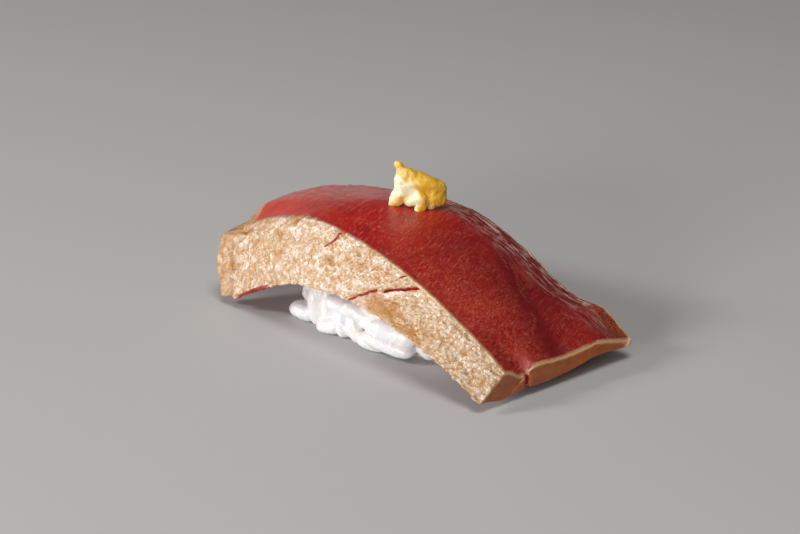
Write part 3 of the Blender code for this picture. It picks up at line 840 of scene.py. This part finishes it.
def spread_grains(tree):
    """The rest of the outer grains: rows round the pad, one above the other, a little uneven."""
    draw = random.Random(SEED)
    for row in range(GRAIN_ROWS):
        for step in range(GRAINS_PER_ROW):
            turn = 2.0 * math.pi * (step + 0.5 * (row % 2) + draw.uniform(-0.2, 0.2)) / GRAINS_PER_ROW
            z = FIRST_ROW_HEIGHT + GRAIN_ROW_HEIGHT * row + draw.uniform(-0.4, 0.4)
            x, y = pad_outline(turn, z, GRAIN_INSET + draw.uniform(-0.1, 0.5))
            ahead_x, ahead_y = pad_outline(turn + 0.05, z, GRAIN_INSET)
            behind_x, behind_y = pad_outline(turn - 0.05, z, GRAIN_INSET)
            heading = math.degrees(math.atan2(ahead_y - behind_y, ahead_x - behind_x))
            heading += draw.uniform(-20.0, 20.0)
            lean = draw.choice(GRAIN_LEANS) + draw.uniform(-10.0, 10.0)
            length = GRAIN_LENGTH * draw.uniform(0.85, 1.12)
            ceiling = surface_height(tree, x, y, True)
            if is_front(x, y) or ceiling is None or z > ceiling - GRAIN_HEADROOM:
                continue
            yield length, (x, y, z), lean, heading


def quads_to_triangles(quads):
    """Each quad as two triangles."""
    return np.concatenate([quads[:, (0, 1, 2)], quads[:, (0, 2, 3)]])


def unit_sphere(segments, rings):
    """Points and faces of a round sphere of radius 1."""
    shape = bmesh.new()
    bmesh.ops.create_uvsphere(shape, u_segments=segments, v_segments=rings, radius=1.0)
    bmesh.ops.triangulate(shape, faces=shape.faces)
    points = np.array([vert.co for vert in shape.verts])
    faces = np.array([[vert.index for vert in face.verts] for face in shape.faces])
    shape.free()
    return points, faces


def fused(mesh):
    """One skin over the mesh's overlapping bodies, with soft creases between them."""
    pile = placed("pile", mesh)
    skin = pile.modifiers.new("skin", "REMESH")
    skin.mode = "VOXEL"
    skin.voxel_size = RICE_CELL
    soften = pile.modifiers.new("soften", "SMOOTH")
    soften.factor = 0.5
    soften.iterations = RICE_SOFTENING
    return taken_mesh(pile)


def build_rice(tree, material):
    """The pad of rice: its core and grains, fused as sticky cooked rice is."""
    draw = random.Random(SEED + 1)
    core_points, core_faces = rice_core(tree)
    sphere, faces = unit_sphere(*GRAIN_FACETS)
    all_points = [core_points]
    all_faces = [quads_to_triangles(core_faces)]
    for index, (length, middle, lean, turn) in enumerate((*FRONT_GRAINS, *spread_grains(tree))):
        points = grain_points(sphere, length, middle, lean, turn, draw)
        all_points.append(tuck_under(points, tree, LOWEST_GRAIN))
        all_faces.append(faces + len(core_points) + index * len(sphere))
    mesh = fused(mesh_from("pile", np.concatenate(all_points), np.concatenate(all_faces)))
    mesh.name = "rice"
    write_points(mesh, np.clip(read_points(mesh), BOX_LOW, BOX_HIGH))
    return add_piece("rice", mesh, material, "rice_pad")


def mustard_skin():
    """The dab as one skin over its lumps, made in millimetres."""
    balls = bpy.data.metaballs.new("lumps")
    balls.resolution = MUSTARD_CELL
    balls.threshold = MUSTARD_THRESHOLD
    for radius, middle in MUSTARD_LUMPS:
        ball = balls.elements.new()
        ball.co = middle
        ball.radius = radius * MUSTARD_SWELL
    return taken_mesh(placed("lumps", balls))


def golden_and_shade_share(mesh):
    """How much the dab turns to gold at each point, from 0 to 1: partly its own tone, partly painted shade on
    its right side and on faces turned right, away from the key light, and less at pale painted highlights.
    """
    points = read_points(mesh)
    facing = read_normals(mesh)
    # Painted shade: gold on the right side and on faces turned right, away from the key light.
    right_side = smooth(points[:, 0], -0.9, 0.3)
    upper_right = smooth(facing[:, 2] + facing[:, 0], 0.0, 0.9)
    ridge = smooth(points[:, 2] + 0.7 * points[:, 0], 2.6, 3.5)
    golden_and_shade = 0.75 * right_side + 0.3 * upper_right
    golden_and_shade += 0.75 * ridge + 0.35 * noise_at(points, 1.1, 11.0)
    # Gold places, and pale painted highlights where the share is below 0.
    for share, place, radius in MUSTARD_TINTS_AND_HIGHLIGHTS:
        golden_and_shade += share * hump(np.linalg.norm(points - place, axis=1), 0.0, radius)
    return held(golden_and_shade)


def set_down(points, tree):
    """Stands the dab on the slice, with what is below its foot pressed nearly flat."""
    for point in points:
        sunk = min(point[2], 0.0)
        raised = max(point[2], 0.0)
        surface = surface_height(tree, point[0], point[1], False)
        point[2] = surface - MUSTARD_SINK + raised + MUSTARD_SLACK * sunk / (1.0 - sunk)
    return points


def build_mustard(tree, material):
    """The dab of mustard: its lumps, roughened, turned and set down on the slice."""
    mesh = mustard_skin()
    mesh.name = "mustard"
    for height, size, shift in MUSTARD_ROUGHNESS:
        points = read_points(mesh)
        rough = height * noise_at(points, size, shift)
        write_points(mesh, points + read_normals(mesh) * rough[:, None])
    golden_and_shade = golden_and_shade_share(mesh)
    turned = Matrix.Rotation(math.radians(MUSTARD_TURN), 4, "Z")
    mesh.transform(Matrix.Translation((*MUSTARD_FOOT, 0.0)) @ turned)
    write_points(mesh, set_down(read_points(mesh), tree))
    add_values(mesh, "golden_and_shade", golden_and_shade)
    return add_piece("mustard", mesh, material, "mustard_dab")


class Shading:
    """A material, with short calls for the nodes that it uses."""

    def __init__(self, name):
        self.material = bpy.data.materials.new(name)
        self.material.use_nodes = True
        self.tree = self.material.node_tree
        self.shader = self.tree.nodes["Principled BSDF"]

    def put(self, socket, value):
        """Links another node's output to a socket, or sets the socket to a number or colour."""
        if isinstance(value, bpy.types.NodeSocket):
            self.tree.links.new(value, socket)
        elif isinstance(value, tuple) and len(value) == 3 and socket.type == "RGBA":
            socket.default_value = (*value, 1.0)
        else:
            socket.default_value = value

    def set(self, **values):
        """Sets the shader's sockets, named with _ for each space."""
        for field, value in values.items():
            self.put(self.shader.inputs[field.replace("_", " ")], value)

    def node(self, kind, inputs, **settings):
        """The outputs of a new node of that kind, with its settings and its inputs."""
        made = self.tree.nodes.new("ShaderNode" + kind)
        for field, value in settings.items():
            setattr(made, field, value)
        for socket, value in inputs.items():
            self.put(made.inputs[socket], value)
        return made.outputs

    def attribute(self, name, output="Fac"):
        """A value that the mesh stores for each point."""
        return self.node("Attribute", {}, attribute_name=name)[output]

    def noise(self, size, detail=2.0, rough=0.5, distortion=0.0, stretch=(1.0, 1.0, 1.0), turn=0.0, at=None):
        """Noise from 0 to 1 of that size in millimetres, stretched and turned, by place or by a value."""
        start = at or self.node("TexCoord", {})["Object"]
        unit = 1.0 if at else MM
        scale = tuple(size * unit * times for times in stretch)
        turned = (0.0, 0.0, math.radians(turn))
        inputs = {"Vector": start, "Rotation": turned, "Scale": scale}
        place = self.node("Mapping", inputs, vector_type="TEXTURE")["Vector"]
        inputs = {"Vector": place, "Scale": 1.0, "Detail": detail, "Roughness": rough}
        return self.node("TexNoise", {**inputs, "Distortion": distortion})["Fac"]

    def math(self, operation, first, second):
        """The operation's result for two values."""
        return self.node("Math", {0: first, 1: second}, operation=operation)[0]

    def times(self, first, second):
        """The product of two values."""
        return self.math("MULTIPLY", first, second)

    def range(self, value, low, high, to_low=0.0, to_high=1.0):
        """A smooth step from to_low at the low value to to_high at the high one."""
        inputs = {"Value": value, "From Min": low, "From Max": high, "To Min": to_low, "To Max": to_high}
        return self.node("MapRange", inputs, interpolation_type="SMOOTHSTEP")["Result"]

    def mix(self, factor, first, second):
        """The first colour where the factor is 0, and the second where it is 1."""
        first_colour, second_colour, blended = 6, 7, 2
        inputs = {"Factor": factor, first_colour: first, second_colour: second}
        return self.node("Mix", inputs, data_type="RGBA")[blended]

    def bump(self, height, distance):
        """Shading normals for a height from 0 to 1 that stands for so many millimetres."""
        return self.node("Bump", {"Height": height, "Strength": 1.0, "Distance": distance * MM})["Normal"]


def raw_red(ink, mottle, clouds):
    """The flesh's cloudy red, with fine specks where it is mottled, and pale hairs askew."""
    mottled = ink.attribute("mottle")
    colour = ink.mix(ink.range(clouds, 0.3, 0.7), *FLESH_REDS)
    colour = ink.mix(ink.times(mottled, 0.5), colour, FLESH_DULL)
    speck_share = ink.math("ADD", ink.times(mottled, 0.60), 0.06)
    colour = ink.mix(ink.times(ink.range(mottle, 0.48, 0.62), speck_share), colour, FLESH_SPECK)
    fibres = ink.noise(0.24, 1.0, 0.5, 1.6, stretch=(24.0, 1.0, 1.0), turn=112.0)
    hair_places = ink.range(ink.noise(2.6, 2.0, 0.5, 0.8), 0.36, 0.58, 0.25, 0.9)
    hair = ink.times(ink.range(fibres, 0.57, 0.63), hair_places)
    return ink.mix(hair, colour, FLESH_HAIR)


def far_edge_colour(ink, colour):
    """The colour, darker towards the far edge, with pale streaks along it that are partly sinew and partly
    painted highlight.
    """
    band = ink.attribute("pale_band")
    place = ink.attribute("place", "Vector")
    colour = ink.mix(ink.times(band, 0.85), colour, FAR_BAND)
    # Partly painted highlight: pale streaks along the far edge.
    streaks = ink.range(ink.noise(0.22, 3.0, 0.6, 0.8, stretch=(16.0, 1.0, 1.0), at=place), 0.49, 0.55)
    gaps = ink.noise(1.6, 2.0, 0.6, 0.5, stretch=(2.0, 1.0, 1.0), at=place)
    streaked = ink.times(ink.times(band, streaks), ink.range(gaps, 0.38, 0.58, 0.15, 1.0))
    return ink.mix(streaked, colour, FAR_SINEW_AND_HIGHLIGHT)


def flesh_colour(ink):
    """Raw tuna: red with a pale, hazy painted reflection at the left, dark and pale lines and a seared
    corner.
    """
    mottle = ink.noise(0.55, 3.0, 0.6, 1.6)
    clouds = ink.noise(5.0, 2.0, 0.5, 0.4)
    colour = raw_red(ink, mottle, clouds)
    # Painted reflection: a pale, hazy veil at the left.
    reflection_haze = ink.times(ink.attribute("reflection_haze"), ink.range(clouds, 0.1, 0.9, 0.35, 0.65))
    colour = ink.mix(reflection_haze, colour, FLESH_REFLECTION_HAZE)
    colour = ink.mix(ink.times(ink.attribute("maroon"), 0.88), colour, MAROON)
    colour = far_edge_colour(ink, colour)
    scratch = ink.times(ink.attribute("arc"), ink.range(mottle, 0.42, 0.6, 0.05, 0.55))
    colour = ink.mix(scratch, colour, SCRATCH)
    patches = ink.range(ink.noise(1.4, 3.0, 0.6, 0.8), 0.3, 0.7, 0.5, 1.0)
    seared = ink.mix(ink.range(mottle, 0.42, 0.6), *CORNER_BROWNS)
    return ink.mix(ink.times(ink.attribute("corner"), patches), colour, seared)


def seared_tan(ink, patches, grain):
    """The crust's tan, browner in spots and with painted shade in its hollows, cream on ridges that is partly
    painted highlight, and dark specks of painted shade for small pits.
    """
    colour = ink.mix(ink.range(patches, 0.35, 0.65), *CRUST_TANS)
    colour = ink.mix(ink.times(ink.range(grain, 0.45, 0.65), 0.7), colour, TAN_GRAIN)
    # Browner in spots and, as painted shade, in hollows.
    brown_and_hollow_shade = ink.times(ink.attribute("brown_and_hollow_shade"), ink.range(grain, 0.25, 0.7, 0.6, 1.0))
    colour = ink.mix(brown_and_hollow_shade, colour, BROWN_AND_HOLLOW_SHADE)
    # Cream on ridges, partly painted highlight.
    colour = ink.mix(ink.times(ink.attribute("ridge"), 0.75), colour, CREAM_AND_RIDGE_HIGHLIGHT)
    # Painted shade: dark specks that stand for shaded pits.
    pit_shade = ink.range(ink.noise(0.75, 3.0, 0.6, 2.0), 0.48, 0.38)
    return ink.mix(ink.times(pit_shade, 0.8), colour, PAINTED_PIT_SHADE)


def painted_highlights(ink, grain, colour):
    """The colour, with painted highlights: glints, a softer sheen and a few white glare lines."""
    glints = ink.range(ink.noise(0.50, 2.0, 0.5, 1.5), 0.58, 0.625)
    glint_places = ink.range(ink.noise(3.2, 2.0, 0.5, 0.5), 0.35, 0.6, 0.35, 1.0)
    glint = ink.times(ink.times(glints, glint_places), ink.attribute("glint"))
    colour = ink.mix(glint, colour, GLINT_WHITE)
    sheen = ink.range(ink.noise(1.1, 3.0, 0.6, 0.4), 0.50, 0.66, 0.0, 0.55)
    colour = ink.mix(ink.times(sheen, ink.attribute("sheen")), colour, SHEEN_WHITE)
    glare = ink.times(ink.attribute("glare"), ink.range(grain, 0.35, 0.6, 1.0, 0.3))
    return ink.mix(glare, colour, GLARE_WHITE)


def crust_colour(ink):
    """The seared crust: tan with painted highlights, but darker and redder on the right end, partly as
    painted shade, with a pale rim.
    """
    patches = ink.noise(2.2, 3.0, 0.6, 0.6)
    grain = ink.noise(0.3, 2.0, 0.6, 1.0)
    colour = painted_highlights(ink, grain, seared_tan(ink, patches, grain))
    # The right end, darker partly as painted shade.
    end = ink.mix(ink.range(patches, 0.3, 0.7), *END_BROWNS_AND_SHADE)
    colour = ink.mix(ink.attribute("end"), colour, end)
    return ink.mix(ink.attribute("rim"), colour, RIM_PALE)


def tuna_material():
    """Moist raw flesh and seared crust on one surface, parted by the mesh's crust values."""
    ink = Shading("tuna_flesh_and_crust")
    crust = ink.attribute("crust")
    colour = ink.mix(crust, flesh_colour(ink), crust_colour(ink))
    colour = ink.mix(ink.range(ink.attribute("crack"), 0.12, 0.5), colour, CRACK_RED)
    shine = ink.noise(1.5, 2.0, 0.5)
    flesh_share = ink.math("SUBTRACT", 1.0, crust)
    wet_flesh = ink.times(ink.range(shine, 0.3, 0.7, 0.30, 0.44), flesh_share)
    wet_crust = ink.times(ink.range(shine, 0.3, 0.7, 0.10, 0.22), crust)
    seared = ink.math("SUBTRACT", crust, ink.attribute("end"))
    fine = ink.times(seared, ink.noise(0.45, 3.0, 0.6, 1.2))
    height = ink.math("ADD", ink.times(ink.noise(0.22, 2.0, 0.6, 0.8), 0.15), fine)
    ink.set(
        Base_Color=colour,
        Roughness=ink.math("ADD", wet_flesh, wet_crust),
        Subsurface_Weight=0.10,
        Subsurface_Radius=(1.0, 0.45, 0.25),
        Subsurface_Scale=0.0007,
        Normal=ink.bump(height, 0.13),
    )
    return ink.material


def rice_material():
    """Moist, slightly clear white rice, with a tone that shifts every few millimetres."""
    ink = Shading("cooked_rice")
    tone = ink.noise(4.0, 1.0, 0.5)
    cloud = ink.noise(1.6, 2.0, 0.5, 0.3)
    colour = ink.mix(ink.range(tone, 0.35, 0.65), *RICE_WHITES)
    colour = ink.mix(ink.times(ink.range(cloud, 0.45, 0.75), 0.6), colour, RICE_CLOUD)
    ink.set(
        Base_Color=colour,
        Roughness=ink.range(ink.noise(0.8, 2.0), 0.3, 0.7, 0.14, 0.34),
        Subsurface_Weight=0.7,
        Subsurface_Radius=(1.0, 0.90, 0.85),
        Subsurface_Scale=0.0011,
        Normal=ink.bump(ink.noise(0.8, 2.0, 0.5), 0.12),
    )
    return ink.material


def mustard_material():
    """Soft paste, cream to gold as the mesh's values say, with fine grains: its cream is partly painted light
    and its gold partly painted shade.
    """
    ink = Shading("mustard_paste")
    grain = ink.noise(0.28, 2.0, 0.6)
    colour = ink.mix(ink.attribute("golden_and_shade"), *MUSTARD_LIT_AND_SHADED_YELLOWS)
    colour = ink.mix(ink.times(ink.range(grain, 0.55, 0.72), 0.3), colour, MUSTARD_GRAIN)
    ink.set(
        Base_Color=colour,
        Roughness=0.30,
        Subsurface_Weight=0.3,
        Subsurface_Radius=(1.0, 0.85, 0.5),
        Subsurface_Scale=0.0012,
        Normal=ink.bump(grain, 0.14),
    )
    return ink.material


def floor_material():
    """Plain grey with hardly any shine."""
    ink = Shading("pale_floor")
    ink.set(Base_Color=FLOOR_COLOUR, Roughness=0.7)
    return ink.material


def add_floor():
    """A wide plain floor that the nigiri stands on."""
    bpy.ops.mesh.primitive_plane_add(size=FLOOR_SIZE)
    floor = bpy.context.object
    floor.name = "floor"
    floor.data.materials.append(floor_material())


def add_light(name, direction, distance, width, height, power, colour):
    """A soft light that shines at the nigiri from a direction."""
    light = bpy.data.lights.new(name, "AREA")
    light.shape = "RECTANGLE"
    light.size = width
    light.size_y = height
    light.energy = power
    light.color = colour
    lamp = placed(name, light)
    towards = Vector(direction).normalized()
    lamp.location = towards * distance
    lamp.rotation_euler = towards.to_track_quat("Z", "Y").to_euler()


def add_studio():
    """The lights and an even, faint surround, with colours shown as they are."""
    world = bpy.data.worlds.new("surround")
    world.use_nodes = True
    background = world.node_tree.nodes["Background"]
    background.inputs["Color"].default_value = SURROUND_COLOUR
    background.inputs["Strength"].default_value = SURROUND_STRENGTH
    bpy.context.scene.world = world
    for light in LIGHTS:
        add_light(*light)
    bpy.context.scene.view_settings.view_transform = "Standard"


def add_camera():
    """The camera stands where its ray through the aim's pixel meets the aim."""
    azimuth = math.radians(CAMERA_AZIMUTH)
    elevation = math.radians(CAMERA_ELEVATION)
    level = math.cos(elevation)
    back = Vector((math.sin(azimuth) * level, -math.cos(azimuth) * level, math.sin(elevation)))
    right = Vector((math.cos(azimuth), math.sin(azimuth), 0.0))
    up = back.cross(right)
    aside = (AIM_PIXEL[0] - FRAME_WIDTH / 2) / FOCAL_PIXELS
    below = (AIM_PIXEL[1] - FRAME_HEIGHT / 2) / FOCAL_PIXELS
    ray = -back + right * aside - up * below
    camera = bpy.data.cameras.new("camera")
    camera.sensor_width = SENSOR_WIDTH
    camera.lens = FOCAL_PIXELS * SENSOR_WIDTH / FRAME_WIDTH
    camera.clip_start = 0.01
    viewer = placed("camera", camera)
    viewer.location = (Vector(AIM) - ray * CAMERA_DISTANCE) * MM
    viewer.rotation_euler = (math.pi / 2 - elevation, 0.0, azimuth)
    bpy.context.scene.camera = viewer


# The CAD model's box in millimetres, which no piece may leave.
BOX_LOW, BOX_HIGH = (np.array(corner) / MM for corner in cad_bounds)
add_camera()
add_studio()
add_floor()
tuna = build_tuna(tuna_material())
slice_tree = BVHTree.FromObject(tuna, bpy.context.evaluated_depsgraph_get())
build_rice(slice_tree, rice_material())
build_mustard(slice_tree, mustard_material())
